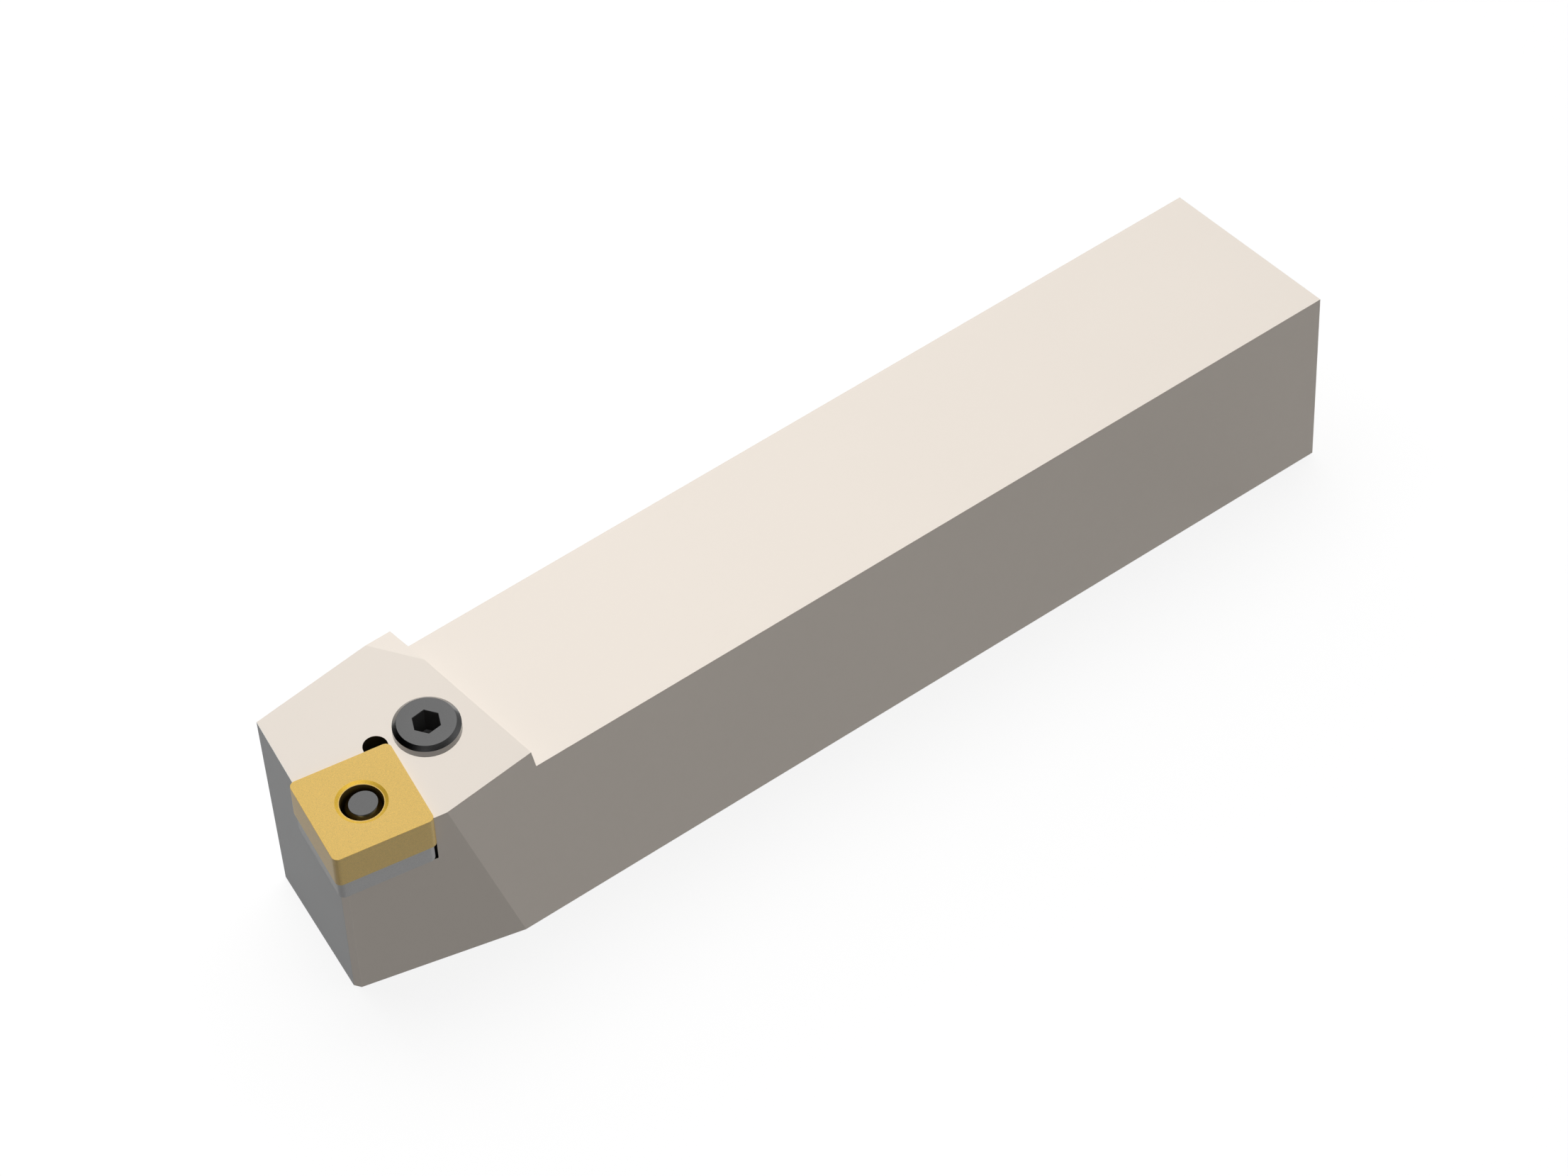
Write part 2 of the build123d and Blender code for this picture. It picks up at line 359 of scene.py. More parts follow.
# painted shade: dark brown for the insert's bore
BORE_PAINTED_SHADE = (0.10, 0.065, 0.013)
BUMP_STRENGTH = 0.2
# the strip at the head's corner: how near x and y together come to the corner's, and its metallic share
CORNER_STRIP = 0.72
CORNER_METAL = 0.12
# how much darker the holder's steel is to diffuse rays, as a share of its colour
BOUNCE_LOSS = 0.65
RIM_METAL = 0.6
RIM_COAT = 0.35
RIM_COAT_ROUGHNESS = 0.25
# taken from the roughness on the rim, and added to it in the screw's socket
RIM_POLISH = 0.1
SOCKET_MATT = 0.5
# how far from the insert's axis the black steel counts as the lever's
LEVER_REACH = 2.5
# how far below a top, and inside the insert's side, the painted shade, reflection and light start
TOP_SKIN = 0.05
FLANK_SKIN = 0.1
# how far a mask's bound stands off the edge that it follows
MARGIN = 0.02


def grain_group():
    """Fine grain of a ground or coated surface: a small speckle, a wide cloud, and a bump height."""
    group = bpy.data.node_groups.new("fine_grain", "ShaderNodeTree")
    face = group.interface
    face.new_socket("Colour", in_out="INPUT", socket_type="NodeSocketColor")
    for name, value in (("Grain size", 0.2), ("Grain", 0.05), ("Cloud size", 20.0), ("Cloud", 0.02),
                        ("Roughness", 0.4), ("Roughness spread", 0.05)):
        socket = face.new_socket(name, in_out="INPUT", socket_type="NodeSocketFloat")
        socket.default_value = value
    face.new_socket("Colour", in_out="OUTPUT", socket_type="NodeSocketColor")
    face.new_socket("Roughness", in_out="OUTPUT", socket_type="NodeSocketFloat")
    face.new_socket("Height", in_out="OUTPUT", socket_type="NodeSocketFloat")
    given = group.nodes.new("NodeGroupInput")
    result = group.nodes.new("NodeGroupOutput")
    spot = group.nodes.new("ShaderNodeTexCoord")

    def noise(size, detail):
        node = group.nodes.new("ShaderNodeTexNoise")
        node.inputs["Detail"].default_value = detail
        group.links.new(spot.outputs["Object"], node.inputs["Vector"])
        group.links.new(math_node(group, "DIVIDE", 1 / MM, size), node.inputs["Scale"])
        return node.outputs["Fac"]

    def share(field, amount):
        """A noise field, brought to vary about zero, times the named amount."""
        about_zero = math_node(group, "SUBTRACT", field, 0.5)
        return math_node(group, "MULTIPLY", about_zero, given.outputs[amount])

    grain = noise(given.outputs["Grain size"], 2.0)
    cloud = noise(given.outputs["Cloud size"], 1.0)
    speckle = math_node(group, "ADD", share(grain, "Grain"), share(cloud, "Cloud"))
    light = math_node(group, "ADD", speckle, 1.0)
    scale = group.nodes.new("ShaderNodeVectorMath")
    scale.operation = "SCALE"
    group.links.new(given.outputs["Colour"], scale.inputs[0])
    group.links.new(light, scale.inputs["Scale"])
    group.links.new(scale.outputs[0], result.inputs["Colour"])
    spread = share(grain, "Roughness spread")
    roughness = math_node(group, "ADD", spread, given.outputs["Roughness"])
    group.links.new(roughness, result.inputs["Roughness"])
    group.links.new(grain, result.inputs["Height"])
    return group


grain = grain_group()


def surface(name, colour, metallic, roughness, grain_size, grain_share, cloud_share=0.02,
            roughness_spread=0.08, bump=0.02, specular=0.5):
    """A finish with fine grain. The grain's size and the depth of its bump are in millimetres."""
    material = bpy.data.materials.new(name)
    material.use_nodes = True
    tree = material.node_tree
    shader = part_node(tree, "ShaderNodeBsdfPrincipled")
    fine = tree.nodes.new("ShaderNodeGroup")
    fine.node_tree = grain
    fine.inputs["Colour"].default_value = (*colour, 1)
    fine.inputs["Grain size"].default_value = grain_size
    fine.inputs["Grain"].default_value = grain_share
    fine.inputs["Cloud"].default_value = cloud_share
    fine.inputs["Roughness"].default_value = roughness
    fine.inputs["Roughness spread"].default_value = roughness_spread
    tree.links.new(fine.outputs["Colour"], shader.inputs["Base Color"])
    tree.links.new(fine.outputs["Roughness"], shader.inputs["Roughness"])
    height = tree.nodes.new("ShaderNodeBump")
    height.inputs["Strength"].default_value = BUMP_STRENGTH
    height.inputs["Distance"].default_value = bump * MM
    tree.links.new(fine.outputs["Height"], height.inputs["Height"])
    tree.links.new(height.outputs["Normal"], shader.inputs["Normal"])
    shader.inputs["Metallic"].default_value = metallic
    shader.inputs["Specular IOR Level"].default_value = specular
    return material


def pocket_place(tree):
    """The surface point in the pocket's frame, as x, y and height sockets in millimetres."""
    spot = tree.nodes.new("ShaderNodeTexCoord")
    offset = tree.nodes.new("ShaderNodeVectorMath")
    offset.operation = "MULTIPLY_ADD"
    tree.links.new(spot.outputs["Object"], offset.inputs[0])
    offset.inputs[1].default_value = (1 / MM, 1 / MM, 1 / MM)
    offset.inputs[2].default_value = -pocket_origin
    sockets = []
    for axis in (along, aside, up):
        reach = tree.nodes.new("ShaderNodeVectorMath")
        reach.operation = "DOT_PRODUCT"
        tree.links.new(offset.outputs[0], reach.inputs[0])
        reach.inputs[1].default_value = axis
        sockets.append(reach.outputs["Value"])
    return sockets


def distance_from(tree, x, y, centre):
    off_x = math_node(tree, "SUBTRACT", x, centre[0])
    off_y = math_node(tree, "SUBTRACT", y, centre[1])
    square = math_node(tree, "MULTIPLY", off_x, off_x)
    return math_node(tree, "SQRT", math_node(tree, "MULTIPLY_ADD", off_y, off_y, square))


def recolour(material, mask, colour):
    """Where the mask is 1, the finish takes this colour, under the same grain."""
    tree = material.node_tree
    fine = part_node(tree, "ShaderNodeGroup")
    slot = fine.inputs["Colour"]
    mix = tree.nodes.new("ShaderNodeMix")
    mix.data_type = "RGBA"
    first, second = [i for i in mix.inputs if i.type == "RGBA"]
    if slot.is_linked:
        tree.links.new(slot.links[0].from_socket, first)
    else:
        first.default_value = slot.default_value
    second.default_value = (*colour, 1)
    tree.links.new(mask, mix.inputs[0])
    tree.links.new(next(o for o in mix.outputs if o.type == "RGBA"), slot)


satin_steel = surface("satin_steel", (0.86, 0.785, 0.705), 0.0, 0.5, 0.2, 0.012, specular=0.25)
gold_coating = surface("gold_coating", (0.77, 0.50, 0.10), 0.0, 0.42, 0.10, 0.66, specular=0.75)
ground_carbide = surface("ground_carbide", (0.605, 0.603, 0.60), 0.0, 0.48, 0.16, 0.34, specular=0.8)
black_steel = surface("black_steel", (0.225, 0.225, 0.225), 1.0, 0.17, 0.16, 0.12)


def finish_holder_with_painted_shade(material):
    """The front clearance face is ground bare, the pocket and its relief hole are near black with painted
    shade, and the strip at the head's corner is a little metallic. To diffuse rays the steel is darker
    than it looks."""
    tree = material.node_tree
    x, y, height = pocket_place(tree)
    front = INSERT_SIZE / 2 - INSERT_OVERHANG
    edge = 0.03
    ground = math_node(tree, "GREATER_THAN", x, front - edge)
    recolour(material, ground, GROUND_STEEL)
    past_x = math_node(tree, "GREATER_THAN", x, POCKET_WALL)
    past_y = math_node(tree, "GREATER_THAN", y, POCKET_WALL)
    in_pocket = math_node(tree, "MULTIPLY", past_x, past_y)
    from_hole = distance_from(tree, x, y, RELIEF_HOLE)
    near_hole = math_node(tree, "LESS_THAN", from_hole, RELIEF_RADIUS + edge)
    above_floor = math_node(tree, "GREATER_THAN", height, POCKET_FLOOR - MARGIN)
    in_pocket = math_node(tree, "MULTIPLY", in_pocket, above_floor)
    inside = math_node(tree, "MAXIMUM", in_pocket, near_hole)
    for limit, value in ((front - edge, x), (front - edge, y), (-edge, height)):
        inside = math_node(tree, "MULTIPLY", inside, math_node(tree, "LESS_THAN", value, limit))
    # painted shade: the pocket and the relief hole are coloured near black
    recolour(material, inside, POCKET_PAINTED_SHADE)
    outwards = math_node(tree, "ADD", x, y)
    corner = math_node(tree, "GREATER_THAN", outwards, 2 * front - CORNER_STRIP)
    shader = part_node(tree, "ShaderNodeBsdfPrincipled")
    tree.links.new(math_node(tree, "MULTIPLY", corner, CORNER_METAL), shader.inputs["Metallic"])
    path = tree.nodes.new("ShaderNodeLightPath")
    bounced = math_node(tree, "MULTIPLY", path.outputs["Is Diffuse Ray"], BOUNCE_LOSS)
    recolour(material, bounced, (0, 0, 0))


def finish_insert_with_painted_light(material):
    """The rim of the insert's hole is bright coated metal, its colour partly a painted highlight; the
    flank over the side clearance face is a lighter gold as painted light; and the bore is darkened with
    painted shade."""
    tree = material.node_tree
    shader = part_node(tree, "ShaderNodeBsdfPrincipled")
    x, y, height = pocket_place(tree)
    radius = distance_from(tree, x, y, (0, 0))
    bore = INSERT_HOLE / 2
    within_rim = math_node(tree, "LESS_THAN", radius, bore + RIM_WIDTH)
    on_slope = math_node(tree, "GREATER_THAN", radius, bore + RIM_LAND)
    rim = math_node(tree, "MULTIPLY", within_rim, on_slope)
    # the rim's metallic gold, brightened as a painted highlight
    recolour(material, rim, RIM_GOLD_AND_HIGHLIGHT)
    flank = math_node(tree, "MULTIPLY", math_node(tree, "GREATER_THAN", y, INSERT_SIZE / 2 - FLANK_SKIN),
                      math_node(tree, "LESS_THAN", height, INSERT_PROUD - MARGIN))
    # painted light: the insert's side is coloured a lighter gold
    recolour(material, flank, FLANK_PAINTED_LIGHT)
    # painted shade: the bore, deep in shade, is coloured dark brown
    recolour(material, math_node(tree, "LESS_THAN", radius, bore + MARGIN), BORE_PAINTED_SHADE)
    tree.links.new(math_node(tree, "MULTIPLY", rim, RIM_METAL), shader.inputs["Metallic"])
    tree.links.new(math_node(tree, "MULTIPLY", rim, RIM_COAT), shader.inputs["Coat Weight"])
    shader.inputs["Coat Roughness"].default_value = RIM_COAT_ROUGHNESS
    plain = shader.inputs["Roughness"].links[0].from_socket
    polish = math_node(tree, "MULTIPLY_ADD", rim, -RIM_POLISH, plain)
    tree.links.new(polish, shader.inputs["Roughness"])


def paint_socket_shade_and_lever_reflection(material):
    """The screw's upper socket is near black and matt as painted shade, and below its flat top the lever
    is browner as a painted reflection of the insert's gold bore.
    """
    tree = material.node_tree
    shader = part_node(tree, "ShaderNodeBsdfPrincipled")
    x, y, height = pocket_place(tree)
    from_screw = distance_from(tree, x, y, screw_place)
    near = math_node(tree, "LESS_THAN", from_screw, HEX_FLATS / math.sqrt(3) + MARGIN)
    low = math_node(tree, "LESS_THAN", height, SCREW_TOP - TOP_SKIN)
    high = math_node(tree, "GREATER_THAN", height, SCREW_TOP - HEX_DEPTH - 1)
    inside = math_node(tree, "MULTIPLY", near, math_node(tree, "MULTIPLY", low, high))
    # painted shade: the socket, a shaded recess, is coloured near black
    recolour(material, inside, SOCKET_PAINTED_SHADE)
    by_lever = math_node(tree, "LESS_THAN", distance_from(tree, x, y, (0, 0)), LEVER_REACH)
    below_top = math_node(tree, "LESS_THAN", height, -TOP_SKIN)
    # painted reflection: the lever below its flat top is tinted brown like the gold bore it mirrors
    recolour(material, math_node(tree, "MULTIPLY", by_lever, below_top), LEVER_PAINTED_REFLECTION)
    tree.links.new(math_node(tree, "SUBTRACT", 1.0, inside), shader.inputs["Metallic"])
    plain = shader.inputs["Roughness"].links[0].from_socket
    matt = math_node(tree, "MULTIPLY_ADD", inside, SOCKET_MATT, plain)
    tree.links.new(matt, shader.inputs["Roughness"])


finish_holder_with_painted_shade(satin_steel)
finish_insert_with_painted_light(gold_coating)
paint_socket_shade_and_lever_reflection(black_steel)


def dress(obj, material):
    obj.data.materials.clear()
    obj.data.materials.append(material)
    return obj


# ---- Holder and shim pin: the solids themselves, with smooth walls in their bores
CRISP_ANGLE = math.radians(12.0)


def smoothing_tree():
    """Smooth walls: an edge stays crisp where it is steep, and everywhere above a height."""
    tree = bpy.data.node_groups.new("smooth_by_angle", "GeometryNodeTree")
    tree.interface.new_socket("Geometry", in_out="INPUT", socket_type="NodeSocketGeometry")
    angle = tree.interface.new_socket("Angle", in_out="INPUT", socket_type="NodeSocketFloat")
    angle.default_value = CRISP_ANGLE
    crest = tree.interface.new_socket("Crisp above", in_out="INPUT", socket_type="NodeSocketFloat")
    crest.default_value = (HEAD_TOP - 0.1) * MM
    tree.interface.new_socket("Geometry", in_out="OUTPUT", socket_type="NodeSocketGeometry")
    given = tree.nodes.new("NodeGroupInput")
    result = tree.nodes.new("NodeGroupOutput")
    weld = tree.nodes.new("GeometryNodeMergeByDistance")
    weld.inputs["Distance"].default_value = 1e-7
    faces = tree.nodes.new("GeometryNodeSetShadeSmooth")
    faces.domain = "FACE"
    edges = tree.nodes.new("GeometryNodeSetShadeSmooth")
    edges.domain = "EDGE"
    edges.inputs["Shade Smooth"].default_value = False
    bend = tree.nodes.new("GeometryNodeInputMeshEdgeAngle")
    steep = math_node(tree, "GREATER_THAN", bend.outputs["Unsigned Angle"], given.outputs["Angle"])
    place = tree.nodes.new("GeometryNodeInputPosition")
    split = tree.nodes.new("ShaderNodeSeparateXYZ")
    tree.links.new(place.outputs[0], split.inputs[0])
    high = math_node(tree, "GREATER_THAN", split.outputs["Z"], given.outputs["Crisp above"])
    crisp = math_node(tree, "MAXIMUM", steep, high)
    tree.links.new(given.outputs["Geometry"], weld.inputs["Geometry"])
    link_chain(tree, weld, faces, edges, result)
    tree.links.new(crisp, edges.inputs["Selection"])
    return tree


smoother = smoothing_tree()
for node_name, material in (("holder_body", satin_steel), ("shim_pin", black_steel)):
    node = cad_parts[node_name]
    dress(node, material)
    modifier = node.modifiers.new("smooth walls", "NODES")
    modifier.node_group = smoother


# ---- Insert
def make_insert():
    top = INSERT_PROUD
    bottom = top - INSERT_THICKNESS
    hole = INSERT_HOLE / 2
    rim = hole + RIM_WIDTH
    outer = rounded_square_ring(INSERT_SIZE, CORNER_RADIUS, 0)
    angles = [math.atan2(p.y, p.x) for p in outer]
    edge = 0.03
    rings = rounded_edge(INSERT_SIZE, top, 1, edge) + rounded_edge(INSERT_SIZE, bottom, -1, edge)[::-1]
    wall = [
        (rim + 1, bottom, 0),
        (rim, bottom),
        (hole + RIM_LAND, bottom + RIM_DEPTH),
        (hole, bottom + RIM_DEPTH),
        (hole, top - RIM_DEPTH),
        (hole + RIM_LAND, top - RIM_DEPTH),
        (rim, top),
        (rim + 1, top, 0),
    ]
    wall = softened(wall, radius=edge, steps=3)[1:-1]
    rings += [circle_ring(radius, height, angles) for radius, height in wall]
    return placed(mesh_from_rings("insert", rings, loop=True, sharp=15.0), pocket)


insert = dress(make_insert(), gold_coating)
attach(insert, "holder")
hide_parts("cutting_insert")


# ---- Shim under the insert
def make_shim():
    top = INSERT_PROUD - INSERT_THICKNESS
    bottom = top - SHIM_THICKNESS
    outer = rounded_square_ring(SHIM_SIZE, CORNER_RADIUS, 0)
    angles = [math.atan2(p.y, p.x) for p in outer]
    blunt = 0.02
    rings = rounded_edge(SHIM_SIZE, top, 1, 0.04)
    rings += [inset_ring(SHIM_SIZE, inset, bottom + rise) for inset, rise in (
        (0, SHIM_CHAMFER + blunt),
        (blunt, SHIM_CHAMFER - blunt),
        (SHIM_CHAMFER - blunt, blunt),
        (SHIM_CHAMFER + blunt, 0),
    )]
    hole = SHIM_HOLE / 2
    mouth = 0.1
    rings += [circle_ring(hole + mouth, bottom, angles), circle_ring(hole, bottom + mouth, angles),
              circle_ring(hole, top - mouth, angles), circle_ring(hole + mouth, top, angles)]
    return placed(mesh_from_rings("shim_plate", rings, loop=True, sharp=15.0), pocket)


shim = dress(make_shim(), ground_carbide)
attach(shim, "holder")
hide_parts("shim")


# ---- Lever: the solid's own lower part, with a crown whose outline is an oval
def make_lever():
    """Keeps the solid's lever up to a cut below its crown, and closes it with rows of points that go over
    from the round head to the oval."""
    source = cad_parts["lever"]
    bm = bmesh.new()
    bm.from_mesh(source.data)
    bm.transform(lever_frame.inverted() @ source.matrix_world)
    bmesh.ops.remove_doubles(bm, verts=bm.verts, dist=1e-4)
    below_crown = 0.4
    cut = -CROWN_DEPTH - below_crown
    geometry = bm.verts[:] + bm.edges[:] + bm.faces[:]
    bmesh.ops.bisect_plane(bm, geom=geometry, dist=1e-5, plane_co=(0, 0, cut), plane_no=(0, 0, 1),
                           clear_outer=True)
    bmesh.ops.subdivide_edges(bm, edges=[e for e in bm.edges if e.is_boundary], cuts=2)
    rim = {v for e in bm.edges if e.is_boundary for v in e.verts}
    row = sorted(rim, key=lambda v: math.atan2(v.co.y, v.co.x))
    angles = [math.atan2(v.co.y, v.co.x) for v in row]
    for vert, angle in zip(row, angles):
        vert.co = Vector((LEVER_HEAD_RADIUS * math.cos(angle), LEVER_HEAD_RADIUS * math.sin(angle), cut))
    across = math.atan2(lever_side.y, lever_side.x)

    def oval(angle):
        off = angle - across
        return 1 / math.hypot(math.cos(off) / CROWN_HALF_ACROSS, math.sin(off) / CROWN_HALF_ALONG)

    # each row: the share of the way from the head's wall in to the crown's outline, and the height
    rows = [(0, -CROWN_DEPTH - 0.03), (0.02, -CROWN_DEPTH + 0.01), (0.98, -0.025), (1.05, 0)]
    for share, height in rows:
        upper = []
        for angle in angles:
            radius = LEVER_HEAD_RADIUS + (oval(angle) - LEVER_HEAD_RADIUS) * share
            upper.append(bm.verts.new((radius * math.cos(angle), radius * math.sin(angle), height)))
        for i in range(len(row)):
            j = (i + 1) % len(row)
            bm.faces.new((row[i], row[j], upper[j], upper[i]))
        row = upper
    bm.faces.new(row)
    return placed(object_from(bm, "clamp_lever", sharp=22.0), lever_frame)


lever = dress(make_lever(), black_steel)
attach(lever, "lever")
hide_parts("lever")


# ---- Lever screw, with its sockets and its thread
def make_screw(thread):
    angles = [math.tau * i / ROUND_POINTS + HEX_TURN for i in range(ROUND_POINTS)]
    top = SCREW_TOP
    foot = top - SCREW_LENGTH
    waist_top = top - COLLAR_LENGTH
    waist_foot = waist_top - WAIST_HEIGHT
    thread_high = waist_foot - THREAD_START
    flat = HEX_FLATS / 2
    cone = flat * math.tan(SOCKET_CONE)
    cone_tip = 0.02

    def socket(mouth, way):
        """A hexagon socket's rings from the tip of its drilled cone to its mouth. Way is 1 at the top."""
        floor = mouth - way * HEX_DEPTH
        return [circle_ring(cone_tip, floor - way * cone, angles), circle_ring(flat, floor, angles),
                hexagon_ring(HEX_FLATS, floor, angles),
                hexagon_ring(HEX_FLATS, mouth - way * SOCKET_LEAD_IN, angles),
                hexagon_ring(HEX_FLATS + 2 * SOCKET_LEAD_IN, mouth, angles)]

    shaft = softened([
        (SOCKET_FACE_RADIUS, top, 0),
        (SCREW_RADIUS - SCREW_CHAMFER, top),
        (COLLAR_RADIUS, top - SCREW_CHAMFER),
        (COLLAR_RADIUS, waist_top, 0.1),
        (WAIST_RADIUS, waist_top, WAIST_FILLET),
        (WAIST_RADIUS, waist_foot, WAIST_FILLET),
        (SCREW_RADIUS, waist_foot, 0.1),
        (SCREW_RADIUS, thread_high, 0),
    ], radius=0.04)
    rows = 75
    low = foot + FOOT_CHAMFER
    band = [(SCREW_RADIUS, thread_high + (low - thread_high) * i / rows) for i in range(1, rows + 1)]
    foot_rows = 10
    taper = [(SCREW_RADIUS - FOOT_CHAMFER * i / foot_rows, low - FOOT_CHAMFER * i / foot_rows)
             for i in range(1, foot_rows + 1)]
    rings = socket(top, 1)
    rings += [circle_ring(r, z, angles) for r, z in shaft + band + taper]
    rings += [circle_ring(SOCKET_FACE_RADIUS, foot, angles)]
    rings += socket(foot, -1)[::-1]
    screw = mesh_from_rings("clamp_screw", rings)
    cut_thread(screw, thread, crest_radius=SCREW_RADIUS, depth=THREAD_DEPTH, pitch=THREAD_PITCH,
               low_end=foot - THREAD_PITCH, high_end=thread_high, run_out=THREAD_RUN_OUT,
               material=black_steel)
    return placed(screw, screw_frame)


thread = thread_tree()
screw = make_screw(thread)
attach(screw, "screw")
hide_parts("lever_screw")
# the other pieces get their diffuse light and their shadows as if the screw weren't there
screw.visible_diffuse = False
screw.visible_shadow = False


# ---- The thread of the screw's bore, below the screw's foot
def make_bore_thread(tree):
    angles = [math.tau * i / ROUND_POINTS for i in range(ROUND_POINTS)]
    high = SCREW_TOP - SCREW_LENGTH - BORE_THREAD_GAP
    low = BORE_THREAD_FOOT
    skin = 0.01
    outer = BORE_RADIUS - skin
    inner = BORE_RADIUS - 3 * skin
    rows = 90
    rings = [circle_ring(inner, low + (high - low) * i / rows, angles) for i in range(rows + 1)]
    rings += [circle_ring(outer, high, angles), circle_ring(outer, low, angles)]
    piece = mesh_from_rings("bore_thread", rings, loop=True)
    cut_thread(piece, tree, crest_radius=BORE_RADIUS - 2 * skin, depth=THREAD_DEPTH, pitch=THREAD_PITCH,
               low_end=low + skin, high_end=high - skin, run_out=THREAD_RUN_OUT, material=satin_steel)
    return placed(piece, screw_frame)


bore_thread = make_bore_thread(thread)
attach(bore_thread, "holder")


# ---- Floor, lamps, world and camera
FLOOR_SIZE = 12.0
FLOOR_GAP = 0.00002
# what the floor sends back of the light on it, which shows the shadow; its own even light for the camera
# and reflections; and the steady light that diffuse rays meet instead of both
FLOOR_SHADE = 0.15
FLOOR_GLOW = 0.87
FLOOR_BOUNCE = 0.09


def make_floor():
    bpy.ops.mesh.primitive_plane_add(size=FLOOR_SIZE, location=(0, 0, -FLOOR_GAP))
    floor = bpy.context.object
    floor.name = "floor"
    material = bpy.data.materials.new("white_floor")
    material.use_nodes = True
    tree = material.node_tree
    tree.nodes.clear()
    out = tree.nodes.new("ShaderNodeOutputMaterial")
    paper = tree.nodes.new("ShaderNodeBsdfDiffuse")
    paper.inputs["Color"].default_value = (FLOOR_SHADE, FLOOR_SHADE, FLOOR_SHADE, 1)
    glow = tree.nodes.new("ShaderNodeEmission")
    glow.inputs["Color"].default_value = (1, 1, 1, 1)
    glow.inputs["Strength"].default_value = FLOOR_GLOW
    both = tree.nodes.new("ShaderNodeAddShader")
    tree.links.new(paper.outputs[0], both.inputs[0])
    tree.links.new(glow.outputs[0], both.inputs[1])
    path = tree.nodes.new("ShaderNodeLightPath")
    seen = math_node(tree, "MAXIMUM", path.outputs["Is Camera Ray"], path.outputs["Is Glossy Ray"])
    seen = math_node(tree, "MAXIMUM", seen, path.outputs["Is Transmission Ray"])
    mix = tree.nodes.new("ShaderNodeMixShader")
    tree.links.new(seen, mix.inputs[0])
    steady = tree.nodes.new("ShaderNodeEmission")
    steady.inputs["Color"].default_value = (1, 1, 1, 1)
    steady.inputs["Strength"].default_value = FLOOR_BOUNCE
    tree.links.new(steady.outputs[0], mix.inputs[1])
    tree.links.new(both.outputs[0], mix.inputs[2])
    tree.links.new(mix.outputs[0], out.inputs["Surface"])
    floor.data.materials.append(material)


make_floor()


def hide_from_sight(lamp):
    """The lamp gives light but is neither seen nor mirrored."""
    lamp.visible_camera = False
    lamp.visible_glossy = False


def make_lamp(name, place, aim, size, power):
    data = bpy.data.lights.new(name, "AREA")
    data.shape = "RECTANGLE"
    data.size = size[0]
    data.size_y = size[1]
    data.energy = power
    lamp = bpy.data.objects.new(name, data)
    bpy.context.scene.collection.objects.link(lamp)
    lamp.location = place
    lamp.rotation_euler = (Vector(aim) - Vector(place)).to_track_quat("-Z", "Y").to_euler()
    hide_from_sight(lamp)


make_lamp("overhead_softbox", place=(0.175, -0.15, 0.46), aim=(0.13, 0, 0.02), size=(0.3, 0.3),
          power=0.95)


def towards(bearing, height):
    """The direction at a bearing and height in degrees."""
    bearing, height = math.radians(bearing), math.radians(height)
    return Vector((math.cos(bearing) * math.cos(height), math.sin(bearing) * math.cos(height),
                   math.sin(height)))


def make_sun(name, bearing, height, spread, strength):
    """A far lamp at a bearing and height in degrees, soft over its spread."""
    data = bpy.data.lights.new(name, "SUN")
    data.angle = math.radians(spread)
    data.energy = strength
    lamp = bpy.data.objects.new(name, data)
    bpy.context.scene.collection.objects.link(lamp)
    lamp.rotation_euler = towards(bearing, height).to_track_quat("Z", "Y").to_euler()
    hide_from_sight(lamp)


make_sun("back_light", bearing=229, height=36, spread=80, strength=1.50)


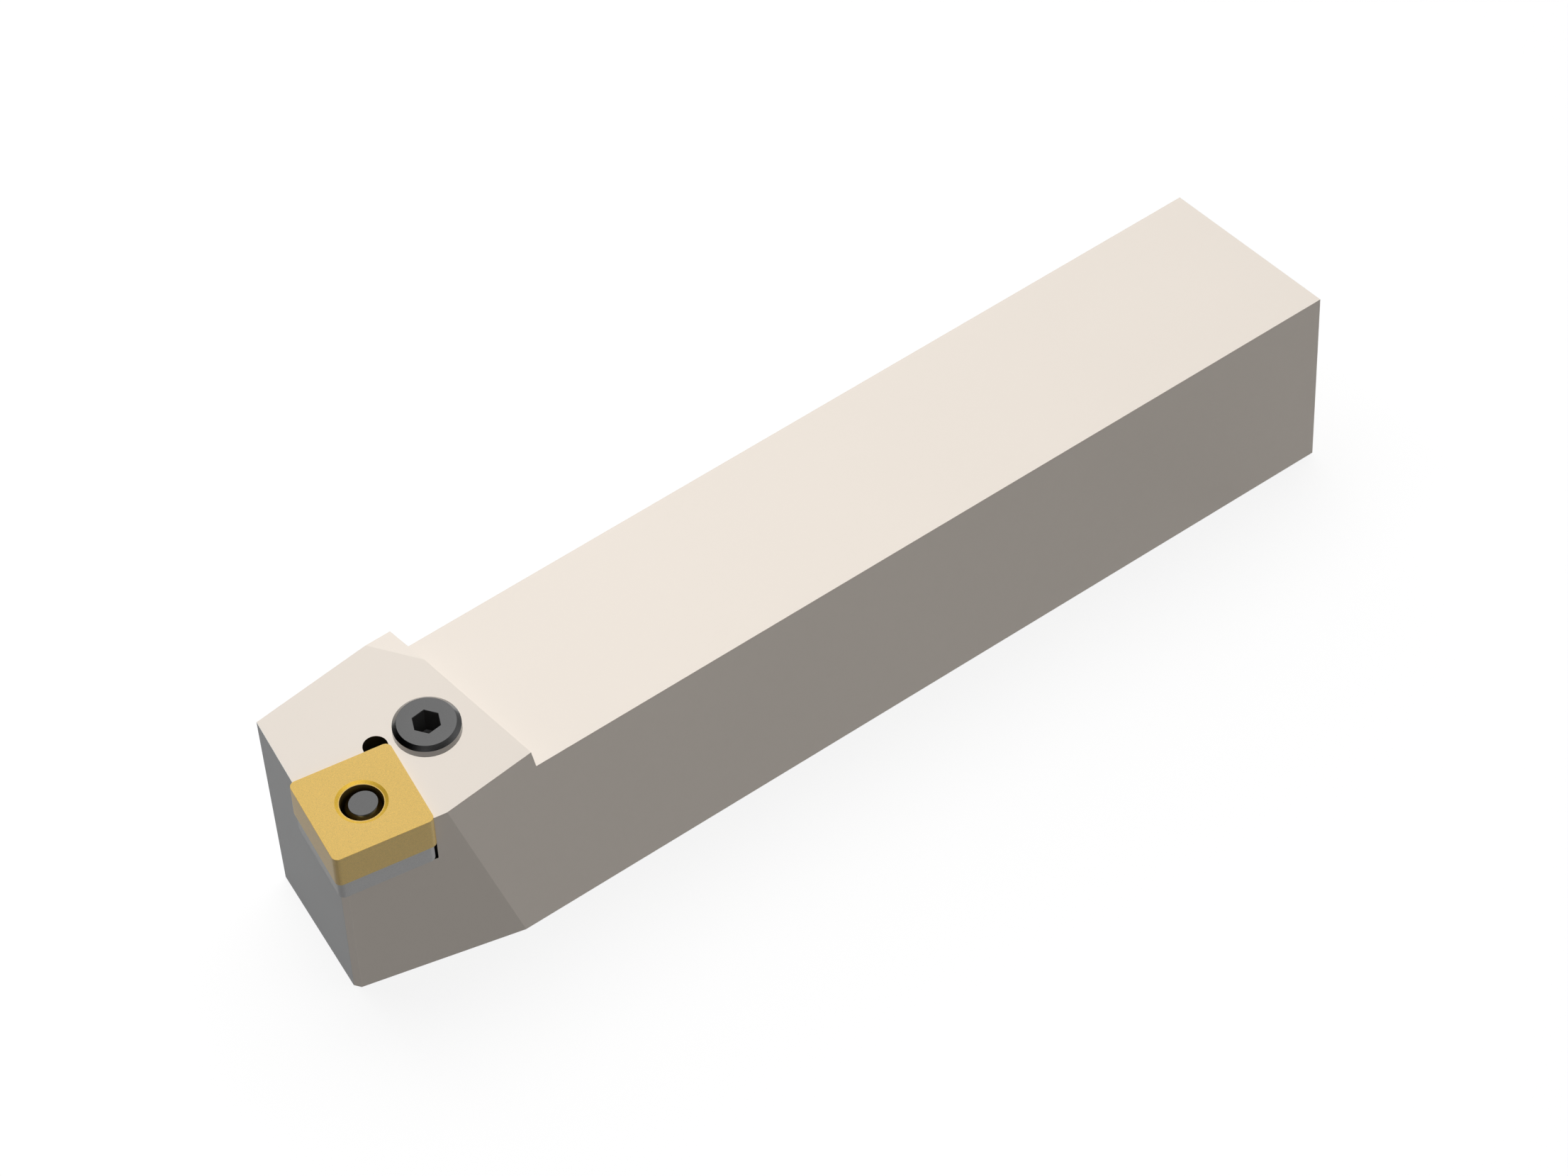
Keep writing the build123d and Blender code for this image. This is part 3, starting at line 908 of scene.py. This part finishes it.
# each soft glow of the sky: bearing and height of its middle in degrees, sharpness, strength, and its
# strength in mirror reflections
SKY_GLOWS = (
    (229, 20, 3, 0.60, 0.60),
    (229, 55, 10, 0.49, 0.32),
    (139, 0, 6, 2.05, 0.60),
    (40, 0, 18, 1.50, 1.50),
    (60, 84, 20, 1.10, 0.0),
    (70, 80, 7, 0.0, 1.2),
)


def make_world():
    """A studio sky that is the sum of its soft glows, black between them."""
    world = bpy.data.worlds.new("studio")
    bpy.context.scene.world = world
    world.use_nodes = True
    tree = world.node_tree
    back = part_node(tree, "ShaderNodeBackground")
    spot = tree.nodes.new("ShaderNodeTexCoord")
    path = tree.nodes.new("ShaderNodeLightPath")
    level = 0.0
    for bearing, height, sharpness, strength, mirrored in SKY_GLOWS:
        facing = tree.nodes.new("ShaderNodeVectorMath")
        facing.operation = "DOT_PRODUCT"
        tree.links.new(spot.outputs["Generated"], facing.inputs[0])
        facing.inputs[1].default_value = towards(bearing, height)
        lit = math_node(tree, "MAXIMUM", facing.outputs["Value"], 0.0)
        in_mirror = path.outputs["Is Glossy Ray"]
        share = math_node(tree, "MULTIPLY_ADD", in_mirror, mirrored - strength, strength)
        glow = math_node(tree, "POWER", lit, sharpness)
        level = math_node(tree, "MULTIPLY_ADD", glow, share, level)
    tree.links.new(level, back.inputs["Color"])
    back.inputs["Strength"].default_value = 1.0


make_world()


# the camera's place in metres, its three axes, and its lens and sensor in millimetres
CAMERA_PLACE = Vector((0.58219702, 0.58790545, 0.74265436))
CAMERA_RIGHT = Vector((-0.75609152, 0.65446406, -0.00155034))
CAMERA_ABOVE = Vector((-0.44854087, -0.51646391, 0.72943548))
CAMERA_BEHIND = Vector((0.47658861, 0.55221537, 0.68404786))
CAMERA_LENS = 206.64
CAMERA_SENSOR = 36.0


def make_camera():
    data = bpy.data.cameras.new("camera")
    data.sensor_width = CAMERA_SENSOR
    data.lens = CAMERA_LENS
    camera = bpy.data.objects.new("camera", data)
    bpy.context.scene.collection.objects.link(camera)
    turn = Matrix((CAMERA_RIGHT, CAMERA_ABOVE, CAMERA_BEHIND)).transposed().to_4x4()
    camera.matrix_world = Matrix.Translation(CAMERA_PLACE) @ turn
    bpy.context.scene.camera = camera


make_camera()
bpy.context.scene.view_settings.view_transform = "Standard"
